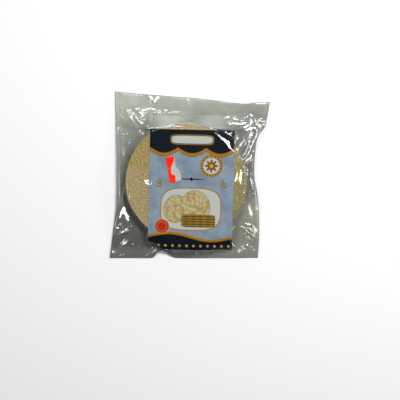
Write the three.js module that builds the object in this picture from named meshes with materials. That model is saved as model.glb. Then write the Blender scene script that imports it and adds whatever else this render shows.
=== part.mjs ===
// A sealed pack of papads, lying on its back with its printed side up. A round stack of thin lentil
// wafers and a card are shut in a flat bag of clear film, which is one closed solid here, out to the
// film. What is left of a torn price sticker lies on the film. Millimetres, +Z up. The origin is on the
// surface that the pack lies on, under the middle of the bag.

import * as THREE from "three";

// ---- What the bag holds ---------------------------------------------------------------------------

const STACK_RADIUS = 75;
const STACK_HEIGHT = 16.2;
const STACK_CENTRE = new THREE.Vector2(-4, -8.5);

const CARD_WIDTH = 105;
const CARD_LENGTH = 150;
const CARD_THICKNESS = 0.4;
const CARD_CENTRE = new THREE.Vector2(2.4, -18);
const CARD_TURN = THREE.MathUtils.degToRad(-1.3);
// A point of the card that reaches past the rim of the stack sinks by DROOP times its reach to the POWER,
// as far as LOWEST above the surface. Bending down, it also reaches less far.
const CARD_DROOP = 0.3;
const CARD_DROOP_POWER = 1.22;
const CARD_LOWEST = 3;
const CARD_DRAWN_IN = 1 / 90;

// ---- The bag --------------------------------------------------------------------------------------

const BAG_HALF_WIDTH = 101;
const BAG_HALF_LENGTH = 104.8;
const FILM_TOP = STACK_HEIGHT + CARD_THICKNESS + 0.3;
// Where the film leaves the rim of the stack, it stands this far outside and below it.
const RIM_GAP = 1.2;
const RIM_DROP = 0.9;

// The welded bands along the four sides, from the bag's edge to its pocket.
const TOP_BAND = 22;
const BOTTOM_BAND = 5;
const SIDE_BAND = 3;
const BAND_THICKNESS = 0.7;
const POCKET_EDGE_THICKNESS = 0.9;

// The four corners, in turn from the one at the top right, seen from above.
const TOP_RIGHT = [BAG_HALF_WIDTH, 92];
const TOP_LEFT = [-93, BAG_HALF_LENGTH];
const BOTTOM_LEFT = [-BAG_HALF_WIDTH, -BAG_HALF_LENGTH];
const BOTTOM_RIGHT = [86.5, -BAG_HALF_LENGTH];

// The sides between them. The stack draws the left and right sides in.
const topEdge = smooth([TOP_RIGHT, [84, 91.2], [70, 89.6], [52, 91.2], [12, 96], [-50, 100.8], TOP_LEFT]);
const leftEdge = smooth([TOP_LEFT, [-92.2, 78], [-90.8, 30], [-91.4, -33], [-94, -55], BOTTOM_LEFT]);
const rightEdge = smooth([BOTTOM_RIGHT, [88, -75], [86.4, -30], [81.3, 2], [83.5, 38], [88, 52.5],
  [95.2, 62], TOP_RIGHT]);

// The bottom edge is straight apart from one place, where it buckles up and so draws in.
const BUCKLE = { from: -47.5, peak: -36, to: -17, drawnIn: 11.5, lift: 8.5 };

// The height of the bag's edge above the surface: at its corners, and how much more halfway along.
const CORNER_LIFT = 1;
const SIDE_LIFT = { top: 2.2, left: 4.6, bottom: 0.4, right: 5.2 };

// Folds in the film that stand up as ridges. Each runs straight from one point to the next.
const FOLDS = [
  { route: [[96, 66], [74, 60], [48, 69]], width: 4, height: 2.2 },
  { route: [[85, 61], [81, 40], [70, 24], [61, 16]], width: 3.4, height: 3 },
  { route: [[70, 57], [67, 36], [62, 22]], width: 3, height: 1.8 },
  { route: [[84, 22], [70, 14], [74, -8]], width: 3, height: 1.6 },
  { route: [[86, -79], [76, -66], [63, -61]], width: 3.6, height: 2.6 },
  { route: [[80, -97], [67, -82], [58, -74]], width: 4, height: 2.4 },
  { route: [[66, -99], [54, -86]], width: 3.4, height: 1.6 },
  { route: [[-98, -78], [-76, -68], [-62, -62]], width: 3.6, height: 2.4 },
  { route: [[-92, -40], [-82, -50], [-72, -57]], width: 4.4, height: 2.6 },
  { route: [[-92, -98], [-70, -80], [-56, -68]], width: 4, height: 2.6 },
  { route: [[-49, -99], [-37, -88]], width: 3.4, height: 1.4 },
  { route: [[-90, 92], [-74, 72], [-58, 54]], width: 4.4, height: 2.4 },
  { route: [[-69, 79], [-40, 72], [-12, 74]], width: 3.6, height: 1.6 },
  { route: [[-86, 42], [-78, 40]], width: 3, height: 1.6 },
];

// ---- The sticker ----------------------------------------------------------------------------------

// What is left of a strip of paper, once a piece is torn out of its right side.
const STICKER_THICKNESS = 0.2;
const STICKER_LIFT = 0.1;
const STICKER_OUTLINE = [[-30.2, 22.3], [-18.6, 23.6], [-15.6, 14.5], [-11.4, 5], [-9.6, -5.8],
  [-16.2, -7.4], [-17, -9.6], [-24, -10.3], [-26.4, 0.6], [-28, 9.6]];

// ---- How finely the bag is faceted ----------------------------------------------------------------

const TOP_STEPS = 34;
const LEFT_STEPS = 30;
const BOTTOM_STEPS = { left: 8, buckle: 12, right: 14 };
const RIGHT_STEPS = 32;
const FLAT_RINGS = [0.45, 0.8, 0.95, 1];
const SLOPE_RINGS = 8;
const BAND_RINGS = 3;
const BASE_RADIUS = 0.88 * STACK_RADIUS;
const UNDERSIDE_RINGS = 5;

// ---- Curves and small sums ------------------------------------------------------------------------

function smooth(points) {
  return new THREE.SplineCurve(points.map(([x, y]) => new THREE.Vector2(x, y)));
}

// 0 at the ends of the buckle and 1 at its peak.
function buckleAt(x) {
  if (x <= BUCKLE.from || x >= BUCKLE.to) return 0;
  const end = x < BUCKLE.peak ? BUCKLE.from : BUCKLE.to;
  return 0.5 - 0.5 * Math.cos((Math.PI * (x - end)) / (BUCKLE.peak - end));
}

// Small waves, as of film that has been handled.
function ripple(x, y) {
  return 0.28 * Math.sin(x / 8.3 + y / 21) + 0.2 * Math.sin(y / 6.1 - x / 17 + 1.3);
}

function distanceToSegment(x, y, [ax, ay], [bx, by]) {
  const along = ((x - ax) * (bx - ax) + (y - ay) * (by - ay)) / ((bx - ax) ** 2 + (by - ay) ** 2);
  const t = THREE.MathUtils.clamp(along, 0, 1);
  return Math.hypot(x - ax - t * (bx - ax), y - ay - t * (by - ay));
}

// How much the folds raise the film at one place.
function foldsAt(x, y) {
  let raised = 0;
  for (const { route, width, height } of FOLDS) {
    let nearest = Infinity;
    for (let i = 1; i < route.length; i++)
      nearest = Math.min(nearest, distanceToSegment(x, y, route[i - 1], route[i]));
    raised = Math.max(raised, height * Math.exp(-((nearest / width) ** 2)));
  }
  return raised;
}

// ---- The bag's edge, and its pocket's edge inside the welded bands ----------------------------------

// One point for each step round the bag, anticlockwise from the top right corner: where the bag ends,
// where its pocket ends, and how high the film is there.
function edgePoints() {
  const found = [];
  const add = (edge, pocket, lift) =>
    found.push({ edge, pocket, edgeHeight: CORNER_LIFT + lift, pocketHeight: CORNER_LIFT + 0.8 + lift });
  const inTop = (x) => topY(x) - TOP_BAND;
  const pocketLeft = TOP_LEFT[0] + SIDE_BAND;
  const pocketRight = TOP_RIGHT[0] - SIDE_BAND - 2;
  const pocketBottom = -BAG_HALF_LENGTH + BOTTOM_BAND;

  for (let i = 0; i < TOP_STEPS; i++) {
    const share = i / TOP_STEPS;
    const x = THREE.MathUtils.lerp(pocketRight, pocketLeft, share);
    const lift = SIDE_LIFT.top * Math.sin(Math.PI * share) * (1 + 0.4 * Math.sin(11 * share));
    add(topEdge.getPoint(share), new THREE.Vector2(x, inTop(x)), lift);
  }
  for (let i = 0; i < LEFT_STEPS; i++) {
    const share = i / LEFT_STEPS;
    const y = THREE.MathUtils.lerp(inTop(pocketLeft), pocketBottom, share);
    const pocket = new THREE.Vector2(acrossAt(leftEdge, y) + SIDE_BAND, y);
    add(leftEdge.getPoint(share), pocket, SIDE_LIFT.left * Math.sin(Math.PI * share));
  }
  const [bottomFrom, bottomTo] = [BOTTOM_LEFT[0], BOTTOM_RIGHT[0]];
  const bottom = [
    ...steps(bottomFrom, BUCKLE.from, BOTTOM_STEPS.left),
    ...steps(BUCKLE.from, BUCKLE.to, BOTTOM_STEPS.buckle),
    ...steps(BUCKLE.to, bottomTo, BOTTOM_STEPS.right),
  ];
  for (const x of bottom) {
    const share = (x - bottomFrom) / (bottomTo - bottomFrom);
    const buckle = buckleAt(x);
    const pocketX = THREE.MathUtils.lerp(bottomFrom + SIDE_BAND, bottomTo - SIDE_BAND, share);
    const pocketY = pocketBottom + 0.35 * BUCKLE.drawnIn * buckle;
    const lift = SIDE_LIFT.bottom * Math.sin(Math.PI * share) + BUCKLE.lift * buckle;
    add(new THREE.Vector2(x, -BAG_HALF_LENGTH + BUCKLE.drawnIn * buckle),
      new THREE.Vector2(pocketX, pocketY), lift);
  }
  for (let i = 0; i < RIGHT_STEPS; i++) {
    const share = i / RIGHT_STEPS;
    const y = THREE.MathUtils.lerp(pocketBottom, inTop(pocketRight), share);
    const pocket = new THREE.Vector2(acrossAt(rightEdge, y) - SIDE_BAND, y);
    add(rightEdge.getPoint(share), pocket, SIDE_LIFT.right * Math.sin(Math.PI * share));
  }
  return found;
}

function steps(from, to, count) {
  return Array.from({ length: count }, (_, i) => THREE.MathUtils.lerp(from, to, i / count));
}

// The top edge's y at an x, and a side edge's x at a y, found along the curve.
function topY(x) {
  return crossing(topEdge, (p) => p.x - x).y;
}

function acrossAt(curve, y) {
  return crossing(curve, (p) => p.y - y).x;
}

function crossing(curve, miss) {
  let [low, high] = [0, 1];
  const rising = miss(curve.getPoint(1)) > miss(curve.getPoint(0));
  for (let i = 0; i < 40; i++) {
    const middle = (low + high) / 2;
    if (miss(curve.getPoint(middle)) > 0 === rising) high = middle;
    else low = middle;
  }
  return curve.getPoint(low);
}

// ---- What carries the film, in one direction from the middle of the stack ---------------------------

// How far the card reaches from the middle of the stack in a direction.
function cardReach(direction) {
  const [cos, sin] = [Math.cos(CARD_TURN), Math.sin(CARD_TURN)];
  const turned = (x, y) => [x * cos + y * sin, -x * sin + y * cos];
  const from = turned(STACK_CENTRE.x - CARD_CENTRE.x, STACK_CENTRE.y - CARD_CENTRE.y);
  const along = turned(direction.x, direction.y);
  const half = [CARD_WIDTH / 2, CARD_LENGTH / 2];
  return Math.min(...[0, 1].map((i) => (Math.sign(along[i]) * half[i] - from[i]) / along[i]));
}

// Where the film leaves the rim of the stack, or the card where that reaches further, and how high.
function support(direction) {
  const past = Math.max(0, cardReach(direction) - STACK_RADIUS);
  const height = FILM_TOP - RIM_DROP - CARD_DROOP * past ** CARD_DROOP_POWER;
  return {
    radius: STACK_RADIUS + RIM_GAP + past * (1 - CARD_DRAWN_IN * past),
    height: Math.max(CARD_LOWEST, height),
  };
}

// ---- The bag's two skins, as rings of points ------------------------------------------------------

// The film falls from its support to the pocket's edge. A short span is nearly straight, a long one sags.
function fallOver(span, t) {
  return (1 - t) ** (1.15 + 0.85 * THREE.MathUtils.smoothstep(span, 8, 50));
}

function ringsOfFront(edges) {
  const rings = FLAT_RINGS.map((share) => edges.map(({ direction }) =>
    at(direction, share * STACK_RADIUS, FILM_TOP - (share === 1 ? 0.2 : 0))));
  rings.push(edges.map(({ direction, carried }) => at(direction, carried.radius, carried.height)));
  for (let k = 1; k <= SLOPE_RINGS; k++)
    rings.push(edges.map((place) => {
      const t = k / SLOPE_RINGS;
      const start = at(place.direction, place.carried.radius, 0);
      const x = THREE.MathUtils.lerp(start.x, place.pocket.x, t);
      const y = THREE.MathUtils.lerp(start.y, place.pocket.y, t);
      const fall = fallOver(Math.hypot(start.x - place.pocket.x, start.y - place.pocket.y), t);
      const low = place.pocketHeight + POCKET_EDGE_THICKNESS / 2;
      const folded = foldsAt(x, y) * Math.min(1, 3 * t);
      return new THREE.Vector3(x, y, low + (place.carried.height - low) * fall + folded + ripple(x, y) * t);
    }));
  rings.push(...bandRings(edges, 1));
  return rings;
}

function ringsOfBack(edges) {
  const rings = [
    edges.map(({ direction }) => at(direction, BASE_RADIUS, 0)),
    edges.map(({ direction }) => at(direction, STACK_RADIUS, 0)),
  ];
  for (let k = 1; k <= UNDERSIDE_RINGS; k++)
    rings.push(edges.map((place) => {
      const t = k / UNDERSIDE_RINGS;
      const start = at(place.direction, STACK_RADIUS, 0);
      const x = THREE.MathUtils.lerp(start.x, place.pocket.x, t);
      const y = THREE.MathUtils.lerp(start.y, place.pocket.y, t);
      const high = place.pocketHeight - POCKET_EDGE_THICKNESS / 2;
      return new THREE.Vector3(x, y, Math.max(0, (high + ripple(x, y)) * t ** 1.6));
    }));
  rings.push(...bandRings(edges, -1));
  return rings;
}

// The welded band, where the two films are one sheet. side is 1 for its face and -1 for its back.
function bandRings(edges, side) {
  return Array.from({ length: BAND_RINGS }, (_, k) => edges.map((place) => {
    const t = (k + 1) / BAND_RINGS;
    const x = THREE.MathUtils.lerp(place.pocket.x, place.edge.x, t);
    const y = THREE.MathUtils.lerp(place.pocket.y, place.edge.y, t);
    const folded = 0.45 * foldsAt(x, y) * (1 - t);
    const middle = THREE.MathUtils.lerp(place.pocketHeight, place.edgeHeight, t) + ripple(x, y) + folded;
    const thickness = THREE.MathUtils.lerp(POCKET_EDGE_THICKNESS, BAND_THICKNESS, t);
    return new THREE.Vector3(x, y, Math.max(middle, thickness / 2 + 0.02) + (side * thickness) / 2);
  }));
}

function at(direction, radius, z) {
  return new THREE.Vector3(STACK_CENTRE.x + radius * direction.x, STACK_CENTRE.y + radius * direction.y, z);
}

// ---- Meshes ---------------------------------------------------------------------------------------

// A closed surface: a front and a back, each from a middle point out through its rings, and a thin wall
// between the two last rings.
function pillowGeometry(frontMiddle, front, backMiddle, back) {
  const count = front[0].length;
  const points = [frontMiddle, ...front.flat(), backMiddle, ...back.flat()];
  const backStart = 1 + front.length * count;
  const next = (i) => (i + 1) % count;
  const triangles = [];
  const quad = (a, b, c, d) => triangles.push(a, b, c, a, c, d);
  const skin = (start, ringCount, up) => {
    const vertex = (ring, i) => start + 1 + ring * count + i;
    for (let i = 0; i < count; i++) {
      if (up) triangles.push(start, vertex(0, i), vertex(0, next(i)));
      else triangles.push(start, vertex(0, next(i)), vertex(0, i));
      for (let ring = 1; ring < ringCount; ring++) {
        const [a, b] = [vertex(ring - 1, i), vertex(ring, i)];
        const [c, d] = [vertex(ring, next(i)), vertex(ring - 1, next(i))];
        if (up) quad(a, b, c, d);
        else quad(a, d, c, b);
      }
    }
    return vertex;
  };
  const onFront = skin(0, front.length, true);
  const onBack = skin(backStart, back.length, false);
  for (let i = 0; i < count; i++)
    quad(onFront(front.length - 1, i), onBack(back.length - 1, i),
      onBack(back.length - 1, next(i)), onFront(front.length - 1, next(i)));
  return new THREE.BufferGeometry().setFromPoints(points).setIndex(triangles);
}

function bagGeometry() {
  const edges = edgePoints().map((place) => {
    const direction = place.pocket.clone().sub(STACK_CENTRE).normalize();
    return { ...place, direction, carried: support(direction) };
  });
  return pillowGeometry(
    new THREE.Vector3(STACK_CENTRE.x, STACK_CENTRE.y, FILM_TOP), ringsOfFront(edges),
    new THREE.Vector3(STACK_CENTRE.x, STACK_CENTRE.y, 0), ringsOfBack(edges));
}

function stickerGeometry() {
  const outline = new THREE.Shape(STICKER_OUTLINE.map(([x, y]) => new THREE.Vector2(x, y)));
  return new THREE.ExtrudeGeometry(outline, { depth: STICKER_THICKNESS, bevelEnabled: false });
}

function piece(name, geometry, material) {
  const mesh = new THREE.Mesh(geometry, new THREE.MeshStandardMaterial(material));
  mesh.name = name;
  return mesh;
}

const pack = new THREE.Group();

const bag = piece("sealed_bag", bagGeometry(), { color: 0xa3947a, roughness: 0.25, metalness: 0 });
pack.add(bag);

const sticker = piece("sticker_remnant", stickerGeometry(), { color: 0xf0401c, roughness: 0.6, metalness: 0 });
sticker.position.z = FILM_TOP + STICKER_LIFT;
pack.add(sticker);

// The curves may stand a hair past the corners, so the bag is centred on its own outline.
bag.geometry.computeBoundingBox();
const middle = bag.geometry.boundingBox.getCenter(new THREE.Vector3());
pack.position.set(-middle.x, -middle.y, 0);

export default pack;
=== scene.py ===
"""A sealed pack of papads: a round stack of thin lentil wafers under a printed card, shut in a flat bag of
clear film, with what is left of a price sticker on the film. It lies on its back, and the camera looks
down on it. Metres, +Z up. X runs to the right as the card is seen, and Y towards the bag's wide top band."""

import math
import random

import bpy
import numpy as np
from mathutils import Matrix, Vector, noise
from mathutils.bvhtree import BVHTree


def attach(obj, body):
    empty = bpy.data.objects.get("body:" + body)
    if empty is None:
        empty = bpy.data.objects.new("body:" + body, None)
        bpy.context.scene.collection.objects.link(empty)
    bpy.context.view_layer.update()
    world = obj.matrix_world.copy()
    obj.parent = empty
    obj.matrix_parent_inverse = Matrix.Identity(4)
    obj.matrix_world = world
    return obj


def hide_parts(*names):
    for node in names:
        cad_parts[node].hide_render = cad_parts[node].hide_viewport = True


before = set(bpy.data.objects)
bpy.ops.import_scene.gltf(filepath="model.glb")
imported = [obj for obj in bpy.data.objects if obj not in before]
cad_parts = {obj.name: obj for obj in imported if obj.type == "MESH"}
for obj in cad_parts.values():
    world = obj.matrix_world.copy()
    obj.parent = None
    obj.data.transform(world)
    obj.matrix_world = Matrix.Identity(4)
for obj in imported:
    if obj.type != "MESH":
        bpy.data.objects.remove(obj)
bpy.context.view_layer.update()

MM = 0.001

# ---- The bag's solid, and what it holds ----

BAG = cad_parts["sealed_bag"]

STACK_CENTRE = (-4 * MM, -8.5 * MM)
STACK_RADIUS = 75 * MM
STACK_HEIGHT = 16.2 * MM
PAPAD_COUNT = 13
PAPAD_THICKNESS = 1.0 * MM
PAPAD_PITCH = STACK_HEIGHT / PAPAD_COUNT
PAPAD_STEPS = 120

CARD_WIDTH = 105 * MM
CARD_LENGTH = 150 * MM
CARD_CENTRE = (2.4 * MM, -18 * MM)
CARD_TURN = math.radians(-1.3)
CARD_THICKNESS = 0.35 * MM
CARD_BASE = STACK_HEIGHT + 0.15 * MM
CARD_CELL = 1.5 * MM

TOP_BAND = 22 * MM
SIDE_BAND = 3 * MM
BOTTOM_BAND = 5 * MM

# ---- Where the camera and the lights are, because the film's glints face them ----

CAMERA_TILT = math.radians(3.5)
CAMERA_DISTANCE = 1.25
PHOTO_SPAN = 502 * MM
PHOTO_SIZE = 400
BAG_MIDDLE_IN_PHOTO = (189.35, 175.3)

# Each light's name, place, size and power.
LIGHTS = [
    ("key light", (0.46, 0.56, 1.22), (0.26, 0.26), 13),
    ("strip above the top edge", (-0.25, 0.75, 1.25), (0.6, 0.16), 5),
    ("small light at the left", (-0.75, -0.15, 1.1), (0.16, 0.16), 2.6),
    ("small light at the right", (0.78, -0.1, 1.12), (0.16, 0.16), 2.6),
    ("low light at the right", (1.2, 0.2, 0.55), (0.18, 0.18), 2.4),
]


def camera_place():
    """Over the middle of the photograph, with the pack off that middle as the photograph has it."""
    scale = PHOTO_SPAN / PHOTO_SIZE
    aim = Vector(((PHOTO_SIZE / 2 - BAG_MIDDLE_IN_PHOTO[0]) * scale,
                  (BAG_MIDDLE_IN_PHOTO[1] - PHOTO_SIZE / 2) * scale, STACK_HEIGHT / 2))
    return aim + CAMERA_DISTANCE * Vector((0, math.sin(CAMERA_TILT), math.cos(CAMERA_TILT)))


# ---- Small tools ----


def deselect():
    """Leaves object mode with nothing selected, so that the next operator acts on the new piece alone."""
    if bpy.context.object and bpy.context.object.mode != "OBJECT":
        bpy.ops.object.mode_set(mode="OBJECT")
    bpy.ops.object.select_all(action="DESELECT")


def select(piece):
    deselect()
    piece.select_set(True)
    bpy.context.view_layer.objects.active = piece


def edit(piece, *steps):
    """Runs edit-mode operators on the whole of a piece."""
    select(piece)
    bpy.ops.object.mode_set(mode="EDIT")
    bpy.ops.mesh.select_all(action="SELECT")
    for step in steps:
        step()
    bpy.ops.object.mode_set(mode="OBJECT")


def modify(piece, name, kind, **values):
    """Adds a modifier and applies it."""
    select(piece)
    modifier = piece.modifiers.new(name, kind)
    for key, value in values.items():
        setattr(modifier, key, value)
    bpy.ops.object.modifier_apply(modifier=modifier.name)


def points_of(piece):
    points = np.empty(len(piece.data.vertices) * 3)
    piece.data.vertices.foreach_get("co", points)
    return points.reshape(-1, 3)


def move_points(piece, points):
    piece.data.vertices.foreach_set("co", np.ascontiguousarray(points, dtype=float).ravel())
    piece.data.update()


def flattened(points):
    """The places of points as they are seen from above, at height 0."""
    return points * (1, 1, 0)


def mark_points(piece, name, values):
    """Keeps a value for each point of a piece, for its material."""
    mark = piece.data.attributes.new(name, "FLOAT", "POINT")
    mark.data.foreach_set("value", values)


def named(piece, name):
    piece.name = piece.data.name = name
    return piece


def new_grid(name, columns, rows):
    """A flat square grid of faces, a metre to a side, with its points row by row from the left bottom one."""
    deselect()
    bpy.ops.mesh.primitive_grid_add(x_subdivisions=columns, y_subdivisions=rows, size=1)
    return named(bpy.context.object, name)


def smooth(piece, sharpest):
    """Shades a piece smooth, except at edges that are sharper than so many degrees."""
    select(piece)
    bpy.ops.object.shade_smooth_by_angle(angle=math.radians(sharpest))


def dress(piece, material):
    piece.data.materials.clear()
    piece.data.materials.append(material)
    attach(piece, "root")


def smoothstep(low, high, value):
    t = np.clip((np.asarray(value, float) - low) / (high - low), 0, 1)
    return t * t * (3 - 2 * t)


def falling(low, high, value):
    return 1 - smoothstep(low, high, value)


def between(start, end, value):
    """1 between two soft edges and 0 outside them. Each edge is given by where it starts and ends."""
    return smoothstep(*start, value) * falling(*end, value)


# Blender's noise stays within about 0.6 of 0. Each seed takes it from another place, so many steps away.
NOISE_GAIN = 1.6
SEED_STEPS = (7.1, 3.7, 1.3)


def waves(points, scale, seed):
    """Smooth noise between about -1 and 1 at each point, with bumps about as wide as scale."""
    shift = Vector([seed * step for step in SEED_STEPS])
    return np.array([noise.noise(Vector(p) / scale + shift) for p in points]) * NOISE_GAIN


def smooth_route(points):
    """A smooth curve through the points, as five times as many of them."""
    points = np.asarray(points, float)
    padded = np.vstack([2 * points[0] - points[1], points, 2 * points[-1] - points[-2]])
    along = np.linspace(0, len(points) - 1, 5 * len(points))
    first = np.minimum(along.astype(int), len(points) - 2)
    t = (along - first)[:, None]
    a, b, c, d = (padded[first + k] for k in range(4))
    return 0.5 * (2 * b + (c - a) * t + (2 * a - 5 * b + 4 * c - d) * t**2 + (3 * b - a - 3 * c + d) * t**3)


def along_route(points, route):
    """For each point, its distance from a route, on which side it lies, and how far along it is, 0 to 1."""
    best = np.full(len(points), np.inf)
    side = np.zeros(len(points))
    share = np.zeros(len(points))
    lengths = np.hypot(*np.diff(route, axis=0).T)
    starts = np.concatenate([[0], np.cumsum(lengths)])
    for k in range(len(route) - 1):
        a, ab = route[k], route[k + 1] - route[k]
        t = np.clip(((points - a) @ ab) / (ab @ ab), 0, 1)
        away = points - a - t[:, None] * ab
        distance = np.hypot(away[:, 0], away[:, 1])
        nearer = distance < best
        best[nearer] = distance[nearer]
        side[nearer] = np.sign(ab[0] * away[:, 1] - ab[1] * away[:, 0])[nearer]
        share[nearer] = ((starts[k] + t * lengths[k]) / starts[-1])[nearer]
    return best, side, share


def past_stack(x, y):
    """How far a place lies outside the rim of the stack, all in millimetres."""
    return np.hypot(x - STACK_CENTRE[0] / MM, y - STACK_CENTRE[1] / MM) - STACK_RADIUS / MM


# ---- Materials ----


class Finish:
    """A material being put together: its nodes, and short ways to add them."""

    def __init__(self, name, ground=None):
        self.material = bpy.data.materials.new(name)
        self.material.use_nodes = True
        self.tree = self.material.node_tree
        self.tree.nodes.clear()
        self.output = self.node("ShaderNodeOutputMaterial")
        self.colour = ground

    @classmethod
    def inside(cls, group):
        """The same tools for the inside of a node group."""
        made = cls.__new__(cls)
        made.tree = group
        return made

    def node(self, kind, **settings):
        made = self.tree.nodes.new(kind)
        for key, value in settings.items():
            setattr(made, key, value)
        return made

    def put(self, value, socket):
        """A value or another node's output goes into a socket."""
        if isinstance(value, bpy.types.NodeSocket):
            self.tree.links.new(value, socket)
        else:
            socket.default_value = value

    def fed(self, made, values):
        """A node with the values in its sockets, in their order."""
        for value, socket in zip(values, made.inputs):
            self.put(value, socket)
        return made

    def wired(self, kind, inputs, **settings):
        """A node with the values in its sockets, by their names."""
        made = self.node(kind, **settings)
        for name, value in inputs.items():
            self.put(value, made.inputs[name])
        return made

    def sums(self, operation, *values):
        return self.fed(self.node("ShaderNodeMath", operation=operation), values).outputs[0]

    def product(self, *values):
        return self.sums("MULTIPLY", *values)

    def vector(self, operation, *values):
        made = self.fed(self.node("ShaderNodeVectorMath", operation=operation), values)
        return made.outputs["Value" if operation == "LENGTH" else "Vector"]

    def mixed(self, mask, first, second):
        """The first colour where the mask is 0 and the second where it is 1."""
        made = self.node("ShaderNodeMix", data_type="RGBA")
        self.put(mask, made.inputs["Factor"])
        self.put(first, made.inputs[6])
        self.put(second, made.inputs[7])
        return made.outputs[2]

    def lay(self, mask, colour):
        """Lays a colour over what the surface has so far, where the mask is 1."""
        self.colour = self.mixed(mask, self.colour, colour)

    def ranged(self, value, low, high, to_low=0.0, to_high=1.0):
        inputs = {"Value": value, "From Min": low, "From Max": high, "To Min": to_low, "To Max": to_high}
        return self.wired("ShaderNodeMapRange", inputs, interpolation_type="SMOOTHSTEP").outputs[0]

    def split(self, value):
        return self.fed(self.node("ShaderNodeSeparateXYZ"), [value]).outputs[:]

    def grouped(self, group, **values):
        return self.wired("ShaderNodeGroup", values, node_tree=group).outputs[0]

    def noise(self, place, scale, detail=2.0, roughness=0.5):
        inputs = {"Vector": place, "Scale": scale, "Detail": detail, "Roughness": roughness}
        return self.wired("ShaderNodeTexNoise", inputs).outputs["Fac"]

    def place(self):
        return self.node("ShaderNodeTexCoord").outputs["Object"]

    def bump(self, height, distance, strength=1.0):
        inputs = {"Height": height, "Distance": distance, "Strength": strength}
        return self.wired("ShaderNodeBump", inputs).outputs["Normal"]

    def over(self, share, below, above):
        """One shader over another, by the share of the upper one."""
        return self.fed(self.node("ShaderNodeMixShader"), (share, below, above)).outputs[0]

    def opaque(self, colour, roughness, specular=0.5, normal=None):
        """Ends a material that light doesn't pass through."""
        inputs = {"Base Color": colour, "Roughness": roughness, "Specular IOR Level": specular}
        if normal:
            inputs["Normal"] = normal
        return self.ended(self.wired("ShaderNodeBsdfPrincipled", inputs).outputs[0])

    def ended(self, surface):
        self.put(surface, self.output.inputs["Surface"])
        return self.material

    def masked(self, mask):
        """Ends a node group with the mask that it puts out."""
        self.put(mask, self.node("NodeGroupOutput").inputs[0])
        return self.tree


def linear(red, green, blue):
    """A colour given as it looks on a screen, 0 to 255, as the shaders take it."""
    shares = (c / 255 for c in (red, green, blue))
    return (*(c / 12.92 if c <= 0.04045 else ((c + 0.055) / 1.055) ** 2.4 for c in shares), 1.0)


def new_mask(name, **inputs):
    """A node group that puts out a mask: the tools for its inside, and the sockets of what it is given."""
    group = bpy.data.node_groups.new(name, "ShaderNodeTree")
    for label, value in inputs.items():
        kind = "NodeSocketVector" if isinstance(value, tuple) else "NodeSocketFloat"
        group.interface.new_socket(label, in_out="INPUT", socket_type=kind).default_value = value
    group.interface.new_socket("Mask", in_out="OUTPUT", socket_type="NodeSocketFloat")
    tree = Finish.inside(group)
    return tree, tree.node("NodeGroupInput").outputs


# ---- The papads ----

# How far the upper papads lie from the middle of the stack in X and Y, in millimetres, from the top one down.
# The others lie off it at random, by about LOOSE_SHIFT.
TOP_SHIFTS = [(0, 0), (0.3, 0.5), (-0.3, 0.9), (0.4, -0.4)]
LOOSE_SHIFT = 0.35
# The papads' radii, from the smallest to the largest, and the rings of each, as shares of the whole radius.
PAPAD_SIZES = (0.993, 1.002)
RING_SHARES = [0.97, 0.9, 0.8, 0.66, 0.5, 0.33, 0.16]
RIM_ROUNDING = 0.3 * MM
# The waves in a rim: how many go round it, how high they are in millimetres, and how far they turn from
# each papad to the next.
RIM_WAVES = [(3, 0.35, 1.0), (7, 0.25, 2.3)]
WARP_HEIGHT, WARP_WIDTH, WARP_SEED = 0.07 * MM, 34 * MM, 2
RIPPLE_HEIGHT, RIPPLE_WIDTH = 0.03 * MM, 11 * MM


def make_papad(index, draws):
    """One wafer: a disc drawn in by rings towards its middle, thickened, with a soft uneven rim."""
    from_top = PAPAD_COUNT - 1 - index
    if from_top < len(TOP_SHIFTS):
        shift = TOP_SHIFTS[from_top]
    else:
        shift = draws.gauss(0, LOOSE_SHIFT), draws.gauss(0, LOOSE_SHIFT)
    centre = (STACK_CENTRE[0] + shift[0] * MM, STACK_CENTRE[1] + shift[1] * MM)
    radius = STACK_RADIUS * (1 if from_top == 0 else draws.uniform(*PAPAD_SIZES))
    height = (index + 0.5) * PAPAD_PITCH
    deselect()
    bpy.ops.mesh.primitive_circle_add(vertices=PAPAD_STEPS, radius=radius, location=(0, 0, 0))
    papad = named(bpy.context.object, f"papad_{index + 1:02d}")

    def draw_in():
        last = 1.0
        for share in RING_SHARES:
            bpy.ops.mesh.extrude_edges_move()
            bpy.ops.transform.resize(value=(share / last,) * 3, center_override=(0, 0, 0))
            last = share
        bpy.ops.mesh.merge(type="CENTER")

    edit(papad, draw_in)
    modify(papad, "thickness", "SOLIDIFY", thickness=PAPAD_THICKNESS, offset=0)
    modify(papad, "soft rim", "BEVEL", width=RIM_ROUNDING, segments=2, limit_method="ANGLE")
    points = points_of(papad)
    turn = np.arctan2(points[:, 1], points[:, 0])
    out = np.hypot(points[:, 0], points[:, 1]) / radius
    uneven = sum(high * np.sin(count * turn + step * index) for count, high, step in RIM_WAVES)
    points[:, :2] *= (1 + uneven * MM / radius * out)[:, None]
    points[:, :2] += centre
    flat = flattened(points)
    points[:, 2] += height + WARP_HEIGHT * waves(flat, WARP_WIDTH, WARP_SEED)
    points[:, 2] += RIPPLE_HEIGHT * waves(flat, RIPPLE_WIDTH, index)
    move_points(papad, points)
    smooth(papad, 50)
    return papad


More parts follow.
